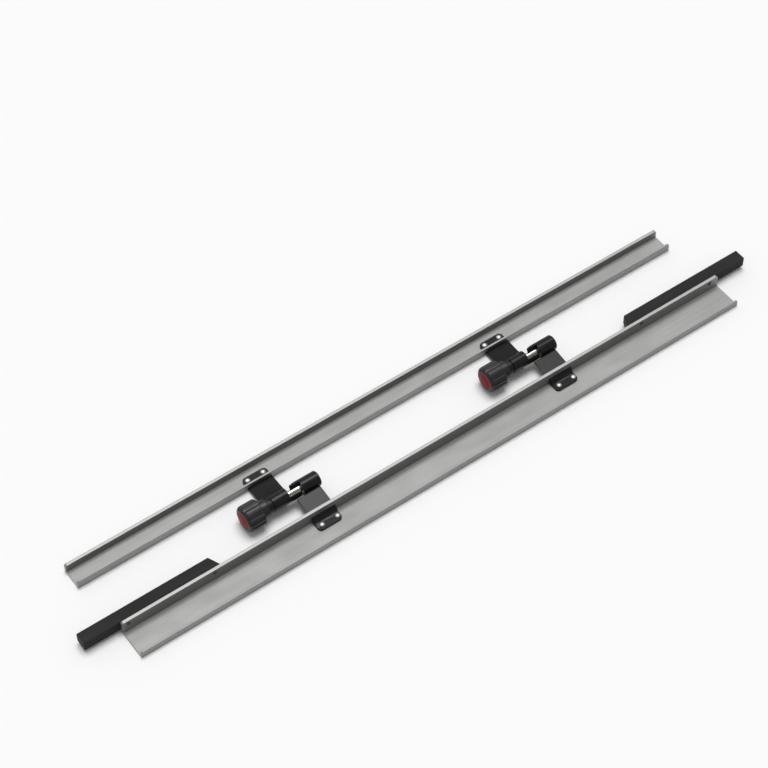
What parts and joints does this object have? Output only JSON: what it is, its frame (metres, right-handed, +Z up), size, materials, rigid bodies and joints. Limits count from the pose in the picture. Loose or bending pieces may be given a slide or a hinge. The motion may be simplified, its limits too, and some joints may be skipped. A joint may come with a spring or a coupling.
{
  "type": "plan hanger",
  "caption": "Sheet hanger with a wide and a narrow channel bar joined by hinge clamps that tighten with end knobs, and arms at both ends that rest on a rack.",
  "frame": {"origin": "under the middle of the open hanger, on the plane that both bars lie on", "axes": "+X along the bars, from the knobs' end of each clamp to its barrel; +Y from the wide back bar to the narrow front bar; +Z up from the plane that the bars lie on"},
  "size_m": [0.72, 0.112, 0.0253],
  "materials": {
    "bar_aluminium": "satin anodised",
    "arm_plastic": "fine moulded texture",
    "leaf_paint": "satin black enamel on die-cast metal",
    "knob_plastic": "satin moulded",
    "cap_red": "satin",
    "pin_steel": "turned",
    "bush_plastic": "smooth black",
    "insert_brass": "turned",
    "rivet_aluminium": "pressed",
    "rivet_dark": "dark"
  },
  "bodies": {
    "root": {"back_bar": "bar_aluminium", "left_hanging_arm": "arm_plastic", "right_hanging_arm": "arm_plastic", "left_arm_rivets": "rivet_dark", "right_arm_rivets": "rivet_dark", "left_back_leaf": "leaf_paint", "right_back_leaf": "leaf_paint", "left_back_rivets": "rivet_aluminium", "right_back_rivets": "rivet_aluminium", "left_pin": "pin_steel", "right_pin": "pin_steel"},
    "thrust_bushes": {"left_thrust_bush": "bush_plastic", "right_thrust_bush": "bush_plastic"},
    "front_assembly": {"front_bar": "bar_aluminium", "left_front_leaf": "leaf_paint", "right_front_leaf": "leaf_paint", "left_front_rivets": "rivet_aluminium", "right_front_rivets": "rivet_aluminium"},
    "left_knob_assembly": {"left_knob": "knob_plastic", "left_knob_cap": "cap_red", "left_knob_insert": "insert_brass"},
    "right_knob_assembly": {"right_knob": "knob_plastic", "right_knob_cap": "cap_red", "right_knob_insert": "insert_brass"}
  },
  "joints": [
    {"name": "front_shift", "type": "slide", "parent": "root", "child": "thrust_bushes", "axis": [1, 0, 0], "range_m": [0, 0.0015]},
    {"name": "front_swing", "type": "hinge", "parent": "thrust_bushes", "child": "front_assembly", "pos_m": [0, 0.00225, 0.013], "axis": [1, 0, 0], "range_deg": [0, 193]},
    {"name": "left_knob_turn", "type": "hinge", "parent": "thrust_bushes", "child": "left_knob_assembly", "pos_m": [-0.17, 0.00225, 0.013], "axis": [1, 0, 0], "range_deg": [0, 540]},
    {"name": "right_knob_turn", "type": "hinge", "parent": "thrust_bushes", "child": "right_knob_assembly", "pos_m": [0.09, 0.00225, 0.013], "axis": [1, 0, 0], "range_deg": [0, 540]}
  ],
  "couplings": [
    {"joint": "left_knob_turn", "follows": "front_shift", "rad_per_m": 6283.2},
    {"joint": "right_knob_turn", "follows": "front_shift", "rad_per_m": 6283.2}
  ]
}
